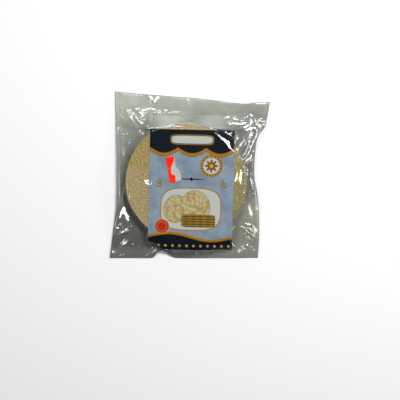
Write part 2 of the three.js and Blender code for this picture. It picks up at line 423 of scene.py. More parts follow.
def papad_finish():
    """Dried lentil dough: tan, with pale and olive specks and pinkish clouds, and a fine dry grain."""
    papad = Finish("dried lentil wafer", linear(152, 139, 88))
    place = papad.place()
    papad.lay(papad.ranged(papad.noise(place, 30, 3), 0.38, 0.64), linear(162, 141, 98))
    across, up, high = papad.split(place)
    upper_left = papad.product(papad.ranged(across, -20 * MM, 0.0, 1.0, 0.0),
                               papad.ranged(up, 2 * MM, 16 * MM, 0.0, 0.8))
    papad.lay(upper_left, linear(150, 129, 62))
    # Painted shade: darker and more olive towards the right of the stack, and darker still at its lower
    # right.
    right = papad.product(papad.ranged(across, 0.0, 75 * MM), papad.ranged(up, -20 * MM, 40 * MM, 1.0, 0.35))
    papad.lay(right, linear(132, 120, 62))
    papad.lay(papad.product(right, papad.ranged(up, -50 * MM, -32 * MM, 0.9, 0.0)), linear(106, 100, 40))
    top = papad.product(papad.ranged(up, 46 * MM, 60 * MM, 0.0, 0.85), papad.ranged(high, 8 * MM, 14 * MM))
    papad.lay(top, linear(206, 178, 116))
    # Olive specks, and pale ones over them.
    papad.lay(papad.ranged(papad.noise(place, 480, 3, 0.6), 0.48, 0.7, 0, 0.85), linear(112, 98, 46))
    papad.lay(papad.ranged(papad.noise(place, 560, 3, 0.6), 0.5, 0.72, 0, 0.8), linear(220, 206, 166))
    grain = papad.noise(place, 900, 4, 0.65)
    blisters = papad.noise(place, 170, 2)
    height = papad.sums("MULTIPLY_ADD", blisters, 1.5, grain)
    return papad.opaque(papad.colour, 0.78, normal=papad.bump(height, 0.25 * MM, 0.7))


# ---- The card ----

# The card bends down past the rim of the stack, and its left bottom corner is folded down along a line.
CARD_SAG = 0.05
CARD_SAG_POWER = 1.6
FOLD_FROM = np.array([-54.5, -78.5])
FOLD_TO = np.array([-23.5, -93.5])
FOLD_ANGLE = math.radians(68)
FOLD_RADIUS = 2.5
CARD_WARP_HEIGHT, CARD_WARP_WIDTH, CARD_WARP_SEED = 0.05 * MM, 30 * MM, 5


def bend_card(flat):
    """Where points of the flat card lie, in millimetres, once it is on the stack."""
    sag = -CARD_SAG * np.maximum(0, past_stack(flat[:, 0], flat[:, 1]))**CARD_SAG_POWER
    line = (FOLD_TO - FOLD_FROM) / np.linalg.norm(FOLD_TO - FOLD_FROM)
    away = np.array([line[1], -line[0]])
    beyond = np.maximum(0, (flat[:, :2] - FOLD_FROM) @ away)
    arc = FOLD_RADIUS * FOLD_ANGLE
    turned = np.minimum(beyond, arc) / FOLD_RADIUS
    straight = np.maximum(0, beyond - arc)
    out = FOLD_RADIUS * np.sin(turned) + straight * math.cos(FOLD_ANGLE)
    down = FOLD_RADIUS * (1 - np.cos(turned)) + straight * math.sin(FOLD_ANGLE)
    bent = flat.copy()
    bent[:, :2] += (out - beyond)[:, None] * away
    bent[:, 2] += sag - down
    return bent


def make_card():
    card = new_grid("printed_card", round(CARD_WIDTH / CARD_CELL), round(CARD_LENGTH / CARD_CELL))
    card.scale = (CARD_WIDTH, CARD_LENGTH, 1)
    card.rotation_euler = (0, 0, CARD_TURN)
    card.location = (*CARD_CENTRE, CARD_BASE)
    bpy.ops.object.transform_apply(location=True, rotation=True, scale=True)
    points = bend_card(points_of(card) / MM) * MM
    points[:, 2] += CARD_WARP_HEIGHT * waves(points, CARD_WARP_WIDTH, CARD_WARP_SEED)
    move_points(card, points)
    modify(card, "thickness", "SOLIDIFY", thickness=CARD_THICKNESS, offset=1)
    smooth(card, 50)
    return card


def spot_group():
    """1 inside an oval, 0 outside. The oval may be turned, and pulled to a rounded box by a higher power."""
    tree, given = new_mask("oval mask", Place=(0, 0, 0), Centre=(0, 0, 0), Radii=(1, 1, 1), Turn=0.0,
                           Power=2.0, Edge=0.25)
    away = tree.vector("SUBTRACT", given["Place"], given["Centre"])
    back = tree.product(given["Turn"], -1.0)
    turned = tree.wired("ShaderNodeVectorRotate", {"Vector": away, "Angle": back}, rotation_type="Z_AXIS")
    shares = tree.vector("ABSOLUTE", tree.vector("DIVIDE", turned.outputs[0], given["Radii"]))
    split = tree.split(shares)
    powers = [tree.sums("POWER", split[i], given["Power"]) for i in range(2)]
    out = tree.sums("POWER", tree.sums("ADD", *powers), tree.sums("DIVIDE", 1.0, given["Power"]))
    size = tree.split(given["Radii"])
    past = tree.product(tree.sums("SUBTRACT", out, 1.0), tree.sums("MINIMUM", size[0], size[1]))
    return tree.masked(tree.ranged(past, tree.product(given["Edge"], -1.0), given["Edge"], 1.0, 0.0))


def polar(tree, away):
    """The distance and the angle of a vector in its plane."""
    split = tree.split(away)
    return tree.vector("LENGTH", away), tree.sums("ARCTAN2", split[1], split[0])


PETALS = 5
PETAL_POWER = 0.6
PETAL_DEPTH = 0.72


def flower_group():
    """1 on the outline of a flower and on its middle, 0 elsewhere."""
    tree, given = new_mask("flower outline mask", Away=(0, 0, 0), Size=10.0, Turn=0.0, Line=0.35)
    far, angle = polar(tree, given["Away"])
    petals = tree.sums("COSINE", tree.product(tree.sums("ADD", angle, given["Turn"]), PETALS / 2))
    petals = tree.sums("POWER", tree.sums("ABSOLUTE", petals), PETAL_POWER)
    rim = tree.product(given["Size"], tree.sums("MULTIPLY_ADD", petals, PETAL_DEPTH, 1 - PETAL_DEPTH))
    miss = tree.sums("ABSOLUTE", tree.sums("SUBTRACT", far, rim))
    outline = tree.ranged(miss, given["Line"], tree.product(given["Line"], 2.2), 1.0, 0.0)
    middle = tree.ranged(tree.sums("DIVIDE", far, given["Size"]), 0.12, 0.15, 1.0, 0.0)
    return tree.masked(tree.sums("MAXIMUM", outline, middle))


def bead_group():
    """1 on the round beads of a ring, 0 elsewhere."""
    tree, given = new_mask("beaded ring mask", Away=(0, 0, 0), Radius=10.0, Bead=1.0, Count=24.0)
    far, angle = polar(tree, given["Away"])
    step = tree.sums("DIVIDE", math.tau, given["Count"])
    off = tree.sums("SUBTRACT", tree.sums("FLOORED_MODULO", angle, step), tree.product(step, 0.5))
    along = tree.product(off, given["Radius"])
    outward = tree.sums("SUBTRACT", far, given["Radius"])
    squares = tree.sums("ADD", tree.product(along, along), tree.product(outward, outward))
    share = tree.sums("DIVIDE", tree.sums("SQRT", squares), given["Bead"])
    return tree.masked(tree.ranged(share, 0.8, 1.1, 1.0, 0.0))


class Print(Finish):
    """The card's print, laid on shape by shape, in millimetres from the card's left bottom corner."""

    def __init__(self, name, ground):
        super().__init__(name, ground)
        self.oval = spot_group()
        self.middle = CARD_WIDTH / MM / 2
        uv = self.node("ShaderNodeTexCoord").outputs["UV"]
        self.sheet = self.vector("MULTIPLY", uv, (CARD_WIDTH / MM, CARD_LENGTH / MM, 0))
        self.across, self.up, _ = self.split(self.sheet)
        from_middle = self.sums("ABSOLUTE", self.sums("SUBTRACT", self.across, self.middle))
        self.mirrored = self.joined(from_middle, self.up)

    def joined(self, x, y):
        return self.fed(self.node("ShaderNodeCombineXYZ"), (x, y)).outputs[0]

    def spot(self, x, y, radius_x, radius_y=None, turn=0.0, power=2.0, edge=0.25, place=None):
        """An oval on the sheet, or on another place, such as the mirrored one, where x is from the middle."""
        return self.grouped(self.oval, Place=place or self.sheet, Centre=(x, y, 0), Turn=turn, Power=power,
                            Radii=(radius_x, radius_y or radius_x, 1), Edge=edge)

    def above(self, height, edge=0.25):
        return self.ranged(self.sums("SUBTRACT", self.up, height), -edge, edge)


NAVY, GOLD, DEEP_GOLD = linear(0, 12, 26), linear(160, 112, 14), linear(122, 78, 4)
PALE_GOLD, WHITE, INK = linear(192, 152, 60), linear(182, 186, 180), linear(14, 16, 14)
GROUND, GROUND_CLOUD, GROUND_LINE = linear(134, 149, 163), linear(116, 132, 149), linear(158, 170, 181)
RED, WAFER, WAFER_DIP = linear(176, 40, 20), linear(190, 178, 132), linear(150, 134, 84)


def card_finish():
    """A blue-grey ground with faint flowers, between a navy field with a scalloped gold edge and one under a
    gold wave, with a bare plaque, a rosette, a picture of papads, a red seal and small ornaments."""
    card = Print("printed card", GROUND)
    middle = card.middle

    # Clouds, and faint flowers about as far apart as they are wide.
    card.lay(card.ranged(card.noise(card.sheet, 0.05, 2), 0.35, 0.7), GROUND_CLOUD)
    cells = card.wired("ShaderNodeTexVoronoi", {"Vector": card.sheet, "Scale": 1 / 31, "Randomness": 0.6},
                       feature="F1")
    away = card.vector("SUBTRACT", card.sheet, cells.outputs["Position"])
    random_turn = card.product(card.split(cells.outputs["Color"])[0], math.tau)
    flowers = card.grouped(flower_group(), Away=away, Size=12.5, Turn=random_turn)
    card.lay(card.product(flowers, 0.55), GROUND_LINE)

    # The navy field at the top hangs down in three scallops, edged in gold.
    turn = card.product(card.across, 1.5 * math.pi / middle)
    scallops = card.sums("MULTIPLY_ADD", card.sums("ABSOLUTE", card.sums("SINE", turn)), -7.0, 128.0)
    for below, colour in ((-4.8, DEEP_GOLD), (-3.9, GOLD), (-0.9, DEEP_GOLD), (0.0, NAVY)):
        card.lay(card.above(card.sums("ADD", scallops, below)), colour)

    # The navy field at the bottom, under one long gold wave and with a row of gold beads.
    wave = card.sums("SINE", card.product(card.across, math.pi / middle))
    wave = card.sums("MULTIPLY_ADD", wave, 4.5, 14.5)
    for over, colour in ((3.4, GOLD), (0.6, DEEP_GOLD), (0.0, NAVY)):
        card.lay(card.sums("SUBTRACT", 1.0, card.above(card.sums("ADD", wave, over))), colour)
    bead_step = 2 * middle / 12
    in_step = card.joined(card.sums("FLOORED_MODULO", card.across, bead_step), card.up)
    card.lay(card.spot(bead_step / 2, 5.0, 1.6, place=in_step), PALE_GOLD)

    # A bare plaque in the navy field, and a divider of a line and a lozenge lower down.
    for inset, colour in ((0, GOLD), (0.8, INK), (1.6, WHITE)):
        card.lay(card.spot(middle, 137.5, 27 - inset, 6.4 - inset, power=5.0), colour)
    card.lay(card.spot(middle, 88.5, 14, 0.7, power=4.0), INK)
    card.lay(card.spot(middle, 88.5, 2.6, 2.6, power=1.0), INK)

    # A rosette in a beaded gold ring.
    rose_x, rose_y = 77.0, 105.5
    card.lay(card.spot(rose_x, rose_y, 14.0), GOLD)
    card.lay(card.spot(rose_x, rose_y, 12.8), INK)
    from_rose = card.vector("SUBTRACT", card.sheet, (rose_x, rose_y, 0))
    card.lay(card.grouped(bead_group(), Away=from_rose, Radius=11.6, Bead=1.15, Count=22.0), PALE_GOLD)
    card.lay(card.spot(rose_x, rose_y, 10.3), WHITE)
    for k in range(4):
        card.lay(card.spot(rose_x, rose_y, 1.9, 8.6, k * math.pi / 4), DEEP_GOLD)
    card.lay(card.spot(rose_x, rose_y, 2.4), PALE_GOLD)

    # A white window with round corners and a gold rim. In it lean two papads, behind a low pile of them.
    window_y = 51.0
    for inset, colour in ((0, GOLD), (1.3, WHITE)):
        card.lay(card.spot(middle, window_y, 38 - inset, 27 - inset, power=3.4), colour)
    puffs = card.wired("ShaderNodeTexVoronoi", {"Vector": card.sheet, "Scale": 0.3}, feature="SMOOTH_F1")
    dips = card.ranged(puffs.outputs["Distance"], 0.15, 0.75)
    for x, y, radius_x, radius_y, turn in ((34, 51, 15, 17, -0.25), (58, 54, 18, 20, 0.2)):
        card.lay(card.spot(x, y, radius_x + 0.5, radius_y + 0.5, turn), linear(92, 76, 24))
        wafer = card.spot(x, y, radius_x, radius_y, turn, edge=0.4)
        card.lay(wafer, WAFER)
        card.lay(card.product(wafer, dips), WAFER_DIP)
    slab_height, slabs, pile_x, pile_low = 3.2, 5, 62.0, 28.5
    pile = card.spot(pile_x, pile_low + slab_height * slabs / 2, 21, slab_height * slabs / 2, power=7.0)
    card.lay(pile, linear(56, 38, 6))
    in_slab = card.sums("FLOORED_MODULO", card.sums("SUBTRACT", card.up, pile_low), slab_height)
    wavy = card.sums("MULTIPLY_ADD", card.sums("SINE", card.product(card.across, 0.7)), 0.35, 1.0)
    crust = card.ranged(card.sums("SUBTRACT", in_slab, wavy), -0.3, 0.3)
    card.lay(card.product(crust, pile), linear(136, 110, 36))

    # A plain red seal and two sprigs.
    for radius, colour in ((9.0, PALE_GOLD), (8.4, RED), (6.3, linear(206, 132, 104)), (5.8, RED)):
        card.lay(card.spot(17, 29, radius), colour)
    for lean in (0.35, 0.9, 1.45):
        x, y = 37 + 4.2 * math.sin(lean), 78 + 7.5 * math.cos(lean)
        card.lay(card.spot(x, y, 1.1, 4.6, -lean, place=card.mirrored), linear(142, 114, 54))

    paper_grain = card.bump(card.noise(card.place(), 500, 2), 0.05 * MM, 0.4)
    return card.opaque(card.colour, 0.5, 0.05, paper_grain)


# ---- The bag of film ----

FILM_COLUMNS, FILM_ROWS = 104, 108
FILM_GAP = 0.3 * MM
WELD_THICKNESS = 0.25 * MM
WELD_EDGE = 1.2 * MM
# A face of the bag's solid is upright where its normal rises less than this.
UPRIGHT = 0.02
# How far off a ray starts that looks for a piece's face.
RAY_START = 0.1

# The film as cloth, and the scale that it is draped at, because the cloth tool keeps gaps of a millimetre.
SIM_SCALE = 10
SIM_FRAMES = 45
# It was cut a little larger than its longer rows are, and LONG_ROWS is the percentile of those.
FILM_SPARE = 1.02
LONG_ROWS = 85
CLOTH_GAP = 0.002
FILM_CLOTH = {"quality": 6, "mass": 0.2, "tension_stiffness": 40, "compression_stiffness": 40,
              "shear_stiffness": 20, "bending_stiffness": 0.2, "air_damping": 3}


def bag_sides():
    """The four sides of the bag's edge as it is seen from above, each as points from left to right or from
    bottom to top. They are where the thin upright wall of the bag's solid stands."""
    mesh = BAG.data
    wall = {tuple(np.round(mesh.vertices[v].co[:2], 5))
            for face in mesh.polygons if abs(face.normal.z) < UPRIGHT for v in face.vertices}
    edge = np.array(sorted(wall, key=lambda p: math.atan2(p[1], p[0])))
    ways = {"bottom_left": (-1, -1), "bottom_right": (1, -1), "top_right": (1, 1), "top_left": (-1, 1)}
    corners = {name: int(np.argmax(edge @ np.array(way))) for name, way in ways.items()}

    def stretch(start, end):
        first, last = corners[start], corners[end]
        order = np.arange(first, last + 1) if last > first else np.r_[first:len(edge), 0:last + 1]
        return edge[order]

    return {"bottom": stretch("bottom_left", "bottom_right"), "right": stretch("bottom_right", "top_right"),
            "top": stretch("top_right", "top_left")[::-1], "left": stretch("top_left", "bottom_left")[::-1]}


def resampled(points, count):
    lengths = np.concatenate([[0], np.cumsum(np.hypot(*np.diff(points, axis=0).T))])
    at = np.linspace(0, lengths[-1], count)
    return np.column_stack([np.interp(at, lengths, points[:, i]) for i in range(2)])


def bag_grid(sides):
    """The rows and columns of the film between the four sides, as places seen from above."""
    bottom, top = (resampled(sides[name], FILM_COLUMNS + 1)[None, :, :] for name in ("bottom", "top"))
    left, right = (resampled(sides[name], FILM_ROWS + 1)[:, None, :] for name in ("left", "right"))
    u = np.linspace(0, 1, FILM_COLUMNS + 1)[None, :, None]
    v = np.linspace(0, 1, FILM_ROWS + 1)[:, None, None]
    corners = ((1 - u) * (1 - v) * bottom[:, :1] + u * (1 - v) * bottom[:, -1:]
               + (1 - u) * v * top[:, :1] + u * v * top[:, -1:])
    return ((1 - v) * bottom + v * top + (1 - u) * left + u * right - corners).reshape(-1, 2)


def height_on(piece, places, way, missing=None):
    """How high a piece's face lies at each place, seen from above for way -1 and from below for 1. Where it
    has none, that is the missing value, or the height of its nearest point."""
    mesh = piece.data
    shape = BVHTree.FromPolygons([v.co for v in mesh.vertices], [face.vertices for face in mesh.polygons])
    heights = np.empty(len(places))
    for i, (x, y) in enumerate(places):
        point = shape.ray_cast(Vector((x, y, -way * RAY_START)), Vector((0, 0, way)))[0]
        if point is None and missing is None:
            point = shape.find_nearest(Vector((x, y, MM)))[0]
        heights[i] = missing if point is None else point.z
    return heights


def contents_height(card, places, spare=0.0):
    """How high the card or the stack reaches at each place, or -1 where neither is."""
    on_stack = np.hypot(*(places - STACK_CENTRE).T) < STACK_RADIUS + spare
    return np.maximum(height_on(card, places, -1, missing=-1), np.where(on_stack, STACK_HEIGHT, -1))


def make_sheet(name, places, heights, every=1):
    """A grid that is bent to the bag's outline and heights, from every row and column or fewer of them."""
    grid = np.column_stack([places, heights]).reshape(FILM_ROWS + 1, FILM_COLUMNS + 1, 3)[::every, ::every]
    sheet = new_grid(name, grid.shape[1] - 1, grid.shape[0] - 1)
    move_points(sheet, grid.reshape(-1, 3))
    return sheet


def from_edge(places, sides):
    """How far each place is from each side of the bag."""
    return {name: along_route(places, points)[0] for name, points in sides.items()}


def welded(edges):
    """1 on the welded bands, where the two films are one, falling to 0 just inside them."""
    past = np.maximum.reduce([TOP_BAND - edges["top"], SIDE_BAND - edges["left"], SIDE_BAND - edges["right"],
                              BOTTOM_BAND - edges["bottom"]])
    return smoothstep(-WELD_EDGE, 0, past)


def path_lengths(grid, axis):
    return np.linalg.norm(np.diff(grid, axis=axis), axis=2).sum(axis=axis)


def drape(sheet, pinned, obstacle):
    """Lets the film find its folds: it was cut flat, it is held at its welded bands, and it lies on what is
    in the bag."""
    start = points_of(sheet)
    grid = start.reshape(FILM_ROWS + 1, FILM_COLUMNS + 1, 3)
    width = np.percentile(path_lengths(grid, 1), LONG_ROWS) * FILM_SPARE
    length = np.percentile(path_lengths(grid, 0), LONG_ROWS) * FILM_SPARE
    u, v = np.meshgrid(np.linspace(-0.5, 0.5, FILM_COLUMNS + 1), np.linspace(-0.5, 0.5, FILM_ROWS + 1))
    flat = np.column_stack([u.ravel() * width, v.ravel() * length, np.zeros(u.size)])
    move_points(sheet, start * SIM_SCALE)
    move_points(obstacle, points_of(obstacle) * SIM_SCALE)
    obstacle.modifiers.new("obstacle", "COLLISION")
    obstacle.collision.thickness_outer = CLOTH_GAP
    obstacle.collision.cloth_friction = 4
    held = sheet.vertex_groups.new(name="held")
    for index, weight in enumerate(pinned):
        if weight > 0:
            held.add([index], float(weight), "REPLACE")
    sheet.shape_key_add(name="start")
    cut = sheet.shape_key_add(name="cut flat")
    cut.data.foreach_set("co", (flat * SIM_SCALE).ravel())
    cut.value = 0
    cloth = sheet.modifiers.new("film", "CLOTH")
    for key, value in FILM_CLOTH.items():
        setattr(cloth.settings, key, value)
    cloth.settings.vertex_group_mass = held.name
    cloth.settings.rest_shape_key = cut
    cloth.collision_settings.distance_min = CLOTH_GAP
    cloth.collision_settings.collision_quality = 3
    cloth.point_cache.frame_start, cloth.point_cache.frame_end = 1, SIM_FRAMES
    scene = bpy.context.scene
    for frame_number in range(1, SIM_FRAMES + 1):
        scene.frame_set(frame_number)
    settled = sheet.evaluated_get(bpy.context.evaluated_depsgraph_get())
    points = np.array([v.co for v in settled.data.vertices]) / SIM_SCALE
    sheet.modifiers.clear()
    sheet.shape_key_clear()
    sheet.vertex_groups.clear()
    scene.frame_set(1)
    return points


def make_film(card):
    """The bag's two films as one closed skin: a front draped over the card and the stack, and a back."""
    sides = bag_sides()
    places = bag_grid(sides)
    edges = from_edge(places, sides)
    pinned = welded(edges)
    on_edge = np.minimum.reduce(list(edges.values())) < 0.001 * MM
    front_heights, back_heights = height_on(BAG, places, -1), height_on(BAG, places, 1)
    middle = (front_heights + back_heights) / 2
    half_gap = np.where(on_edge, 0, WELD_THICKNESS / 2)
    back_heights += pinned * (middle - half_gap - back_heights)
    held_up = np.maximum(contents_height(card, places, spare=0.5 * MM), back_heights)
    front_heights = np.maximum(front_heights, held_up + FILM_GAP)
    front_heights += pinned * (middle + half_gap - front_heights)
    back = make_sheet("film_back", places, back_heights)
    front = make_sheet("film_bag", places, front_heights)
    under_film = np.where(pinned > 0, middle - half_gap, held_up)
    obstacle = make_sheet("film_obstacle", places, under_film, every=2)
    points = drape(front, pinned, obstacle)
    bpy.data.objects.remove(obstacle)
    free = pinned < 1
    points[~free] = np.column_stack([places, front_heights])[~free]
    lowest = contents_height(card, points[:, :2]) + FILM_GAP
    points[free, 2] = np.maximum(points[free, 2], lowest[free])
    move_points(front, points)
    film = close_skin(front, back)
    crease(film)
    flatten_glints(film)
    cloud_film(film, sides)
    return film


def layers_of(piece):
    layers = np.empty(len(piece.data.vertices))
    piece.data.attributes["layer"].data.foreach_get("value", layers)
    return layers


def close_skin(front, back):
    """Makes the two films finer and joins them at their edge. layer tells them apart: 0 front, 1 back."""
    for sheet, layer in ((front, 0.0), (back, 1.0)):
        modify(sheet, "finer", "SUBSURF", levels=1, render_levels=1, boundary_smooth="PRESERVE_CORNERS")
        mark_points(sheet, "layer", np.full(len(sheet.data.vertices), layer))
    edit(back, bpy.ops.mesh.flip_normals)
    select(front)
    back.select_set(True)
    bpy.ops.object.join()
    edit(front, lambda: bpy.ops.mesh.remove_doubles(threshold=0.02 * MM))
    smooth(front, 80)
    return front


# The film's sharp creases that can be seen one by one: how bright the glint painted along each one is,
# how wide that painted glint line is to each side, and where it runs as seen from above, in millimetres.
CREASES = [
    # In the top band: short ones at its edge, and faint long ones across it.
    (0.9, 0.8, [(-73.9, 103), (-73.9, 99.5)]),
    (0.9, 0.8, [(-67.6, 99.5), (-64.5, 101.6)]),
    (0.25, 0.5, [(-68, 99), (-68.3, 92), (-67.8, 84)]),
    (0.2, 0.6, [(-74, 98), (-73.2, 88), (-74.4, 74)]),
    (0.3, 0.5, [(-1.7, 95), (-1, 85.5)]),
    (0.9, 1.1, [(-49.8, 101.5), (-48, 97.6), (-44.5, 92.6)]),
    (0.9, 1.0, [(-38, 100.4), (-40.8, 96.2), (-43.6, 92.4)]),
    (0.6, 0.8, [(-46.8, 85), (-44.6, 89), (-43.8, 93)]),
    # Along the weld below it.
    (0.7, 0.7, [(-68, 80.9), (-64.8, 82.4), (-61.5, 82.8)]),
    (0.95, 1.0, [(-60.8, 80.2), (-56.2, 80.9), (-49.6, 82.2), (-44.4, 81.7), (-39, 80.4)]),
    (0.8, 0.8, [(-39.1, 76.6), (-38.6, 79), (-36.6, 79.2), (-35.6, 74.8)]),
    (0.8, 0.8, [(-32.5, 80.2), (-28.6, 80.3), (-26.6, 79.2)]),
    (0.5, 0.6, [(-25.3, 78.9), (-14, 78.1), (0.3, 77.6), (12, 76.6)]),
    (0.9, 0.9, [(-68.9, 75.2), (-64.7, 71), (-62.8, 68.2), (-56.7, 65)]),
    (0.7, 0.6, [(-61.5, 69.5), (-55.5, 70.7)]),
    (0.6, 0.6, [(-50.3, 70.6), (-47.5, 68.2)]),
    (0.5, 0.5, [(-47.7, 72.8), (-46.9, 76), (-45.6, 78.4)]),
    (0.4, 0.6, [(-14.8, 73), (-9, 70.4), (-3.4, 66.9)]),
    (0.5, 0.6, [(-86, 84.3), (-82.9, 81.3)]),
    # Where it bends over the rim of the stack, above the card.
    (1.0, 0.8, [(-54.4, 58.7), (-43.1, 59.2), (-36.5, 59.5), (-23.4, 60.6), (-5, 61.2)]),
    (0.65, 0.6, [(-12, 63.6), (0.3, 64.1), (9, 62.6), (18, 59.4)]),
    (1.0, 1.0, [(-52.6, 61.2), (-50.8, 62.4)]),
    # Over the card's right top corner.
    (1.0, 1.1, [(31.3, 54), (39, 47.6), (45.4, 41.9), (49.6, 35.8), (57.5, 27.8)]),
    # The crumpled corner at the right, below the weld.
    (1.0, 0.9, [(46.6, 67.5), (49.6, 66), (53, 63.5)]),
    (0.6, 0.6, [(49.6, 68.1), (54.8, 67.6)]),
    (0.9, 0.9, [(63.2, 66.9), (65.2, 66.2)]),
    (0.4, 0.5, [(61, 75.9), (66, 75.4), (70.2, 76.2)]),
    (0.4, 0.5, [(61.6, 69.5), (66, 70.1), (70.8, 71.4)]),
    (0.8, 0.8, [(71.2, 72.2), (73.2, 73.5)]),
    (0.7, 0.6, [(74.3, 75.9), (77, 74.6), (79.8, 72.1)]),
    (0.9, 0.9, [(74.8, 72), (76.4, 70.8), (78.1, 68.6)]),
    (0.8, 0.7, [(81, 69.7), (83.3, 69.1)]),
    (0.9, 0.9, [(86.8, 70), (88.6, 68.8), (90.7, 66.4)]),
    (0.9, 0.9, [(91.4, 68), (94.5, 67.3), (97.4, 67.8)]),
    (0.9, 0.9, [(90.8, 63.6), (93.4, 62.8), (96.3, 63.7)]),
    (0.4, 0.5, [(67.4, 61.3), (72, 63.4), (78.7, 65.6)]),
    (0.4, 0.5, [(76, 61.5), (82, 63), (88, 62.6)]),
    (0.5, 0.5, [(63.4, 61), (66.7, 59.7)]),
    (0.6, 0.6, [(84, 57.3), (86.7, 60)]),
    (0.7, 0.7, [(86.8, 53.3), (88.4, 54.8)]),
    # The loops at the right, and the lines inside them.
    (1.0, 0.8, [(67.4, 55.7), (72.2, 57.6), (75.6, 56.8), (80.2, 59.3), (83.8, 56.9), (84.9, 53.5),
                (83.6, 48.3), (81.3, 43.2), (77.9, 36.3), (74.5, 28.9), (72.6, 25.3), (69.9, 21.6),
                (63, 18.2)]),
    (0.8, 0.7, [(66.3, 48), (68.8, 45.1), (65.9, 41.5), (62.4, 37.6), (65, 36.2)]),
    (0.5, 0.6, [(70.3, 45.2), (76.4, 45.5)]),
    (0.8, 0.7, [(75.1, 42.3), (73.3, 36.4), (70.5, 30.1), (65.7, 22.5)]),
    (0.5, 0.6, [(70, 42.3), (68.1, 37.9)]),
    (0.9, 0.8, [(59.5, 51), (59.4, 45.8)]),
    (0.7, 0.7, [(61.2, 36.6), (60.6, 32), (60.8, 27.4)]),
    (0.9, 0.8, [(63.8, 24.7), (61, 20.4)]),
    (0.8, 0.8, [(80.9, 21.1), (76.6, 17.8), (71.3, 13.9)]),
    # Beside the card's right edge, and below it along the stack.
    (0.6, 0.6, [(61.7, -2.4), (63.4, 3), (64.6, 8.2)]),
    (0.6, 0.9, [(68, 10.4), (69.4, 5), (69.2, -0.8)]),
    (0.9, 0.8, [(72.9, 9), (72.9, -0.8)]),
    (0.6, 0.6, [(66.6, 12.9), (71.9, 8.4)]),
    (1.0, 1.1, [(82.7, -40.7), (86.2, -43.4)]),
    (0.4, 0.6, [(69.8, -26.7), (73.5, -28.2)]),
    (0.3, 0.5, [(57, -15.9), (63, -20.2), (69.2, -26.5)]),
    # At the lower right.
    (0.7, 0.7, [(53.8, -68.2), (55.2, -64.8), (58, -63.4)]),
    (1.0, 0.9, [(62.5, -63.6), (68.4, -65.2), (73.3, -70.9), (79, -75.4), (86, -78.9)]),
    (0.95, 0.8, [(69.3, -59.1), (73.3, -61.5), (79.9, -63.2), (86.6, -70.7)]),
    (0.9, 0.8, [(80.5, -66.2), (87.4, -74)]),
    (0.8, 0.7, [(71.5, -63.8), (77.4, -68.9), (84.1, -74.8)]),
    (1.0, 0.9, [(53.1, -83.6), (55.2, -87.6), (58.6, -90.9)]),
    (1.0, 0.9, [(64.7, -91), (68.9, -88.4)]),
    (1.0, 0.9, [(66.3, -91.4), (71.5, -94)]),
    (1.0, 1.0, [(72, -86.9), (73.8, -89.1)]),
    (0.9, 0.9, [(62.2, -93), (67.3, -96.5)]),
    (0.9, 0.9, [(59.8, -94.6), (64.3, -98.6)]),
    (0.4, 0.6, [(73.1, -95.2), (76, -92.3)]),
    (0.8, 0.8, [(7, -98.1), (11.9, -99.9)]),
    (0.5, 0.6, [(51.2, -76), (52, -81), (54.2, -85)]),
    # At the left, from the bottom of the bag to its top.
    (0.8, 0.7, [(-89.1, -102.5), (-85.2, -100), (-82.1, -101.2)]),
    (0.6, 0.7, [(-58.2, -103.3), (-51.3, -99.3), (-45, -95), (-39.3, -88.8)]),
    (1.0, 1.0, [(-72.3, -86.3), (-70.2, -88.3)]),
    (0.6, 0.7, [(-64.6, -90), (-63.2, -91.2)]),
    (0.7, 0.7, [(-68, -66.3), (-67, -67.7)]),
    (0.7, 0.7, [(-65.6, -68.7), (-64.4, -69.9)]),
    (0.9, 0.8, [(-91.3, -75.4), (-86, -72.7), (-80.8, -70.7), (-74.7, -68.3)]),
    (0.7, 0.7, [(-74.4, -65), (-71.8, -63.9)]),
    (0.45, 0.6, [(-86.2, -37), (-84.3, -28.3), (-80.6, -11.6)]),
    (1.0, 1.0, [(-62.2, -52), (-59.2, -54.3)]),
    (0.7, 0.8, [(-55.9, -55.9), (-54.9, -56.9)]),
    (0.3, 0.8, [(-76.4, -8), (-74.2, -14)]),
    (0.8, 0.4, [(-74.8, -0.4), (-73.2, -1.6)]),
    (0.6, 0.7, [(-55.1, 2.6), (-54.5, -1.8)]),
    (0.4, 0.5, [(-90, 61.2), (-90.2, 54), (-90.4, 46)]),
    (1.0, 0.9, [(-84.6, 50.9), (-76.4, 51.4)]),
    (1.0, 1.0, [(-63, 54.9), (-60.6, 56.8)]),
    (0.5, 0.5, [(-62.3, 49.6), (-59.5, 53.3), (-56.7, 52.4)]),
]
# How steep a crease's sides are, how far they reach beyond its white line in millimetres, and over what
# share of its length they die out at each end.
CREASE_STEEPNESS = 0.22
CREASE_SIDE = 1.4
SIDE_TAPER = 0.2
# The line thins to a share of its width towards its ends, dies out at them, and fades beyond its width.
LINE_END = 0.35
LINE_TAPER = 0.05
LINE_FADE = (0.6, 1.4)
FAR_FROM_LINE = 9.0

# The small creases, in millimetres: how many, how long, how far each side reaches, how wide their painted
# glint lines are, how bowed, how steep and how bright those painted glints are.
SMALL_CREASES = 34
SMALL_SEED = 11
SMALL_LENGTHS, SMALL_SIDES, SMALL_LINE = (4, 13), (1.6, 3.0), 0.4
SMALL_BOWS, SMALL_STEEPNESSES, SMALL_PAINTED_GLINTS = (-0.25, 0.25), (0.22, 0.42), (0, 0.3)
# Where they may lie, from left to right and from bottom to top, and how far from the card and from a glint.
# None lies above and to the right of the loops' left bottom corner.
LOOSE_ACROSS, LOOSE_UP = (-88, 90), (-94, 56)
CARD_ROOM = (4, 3)
GLINT_ROOM = 9
LOOPS_CORNER = (58, 8)

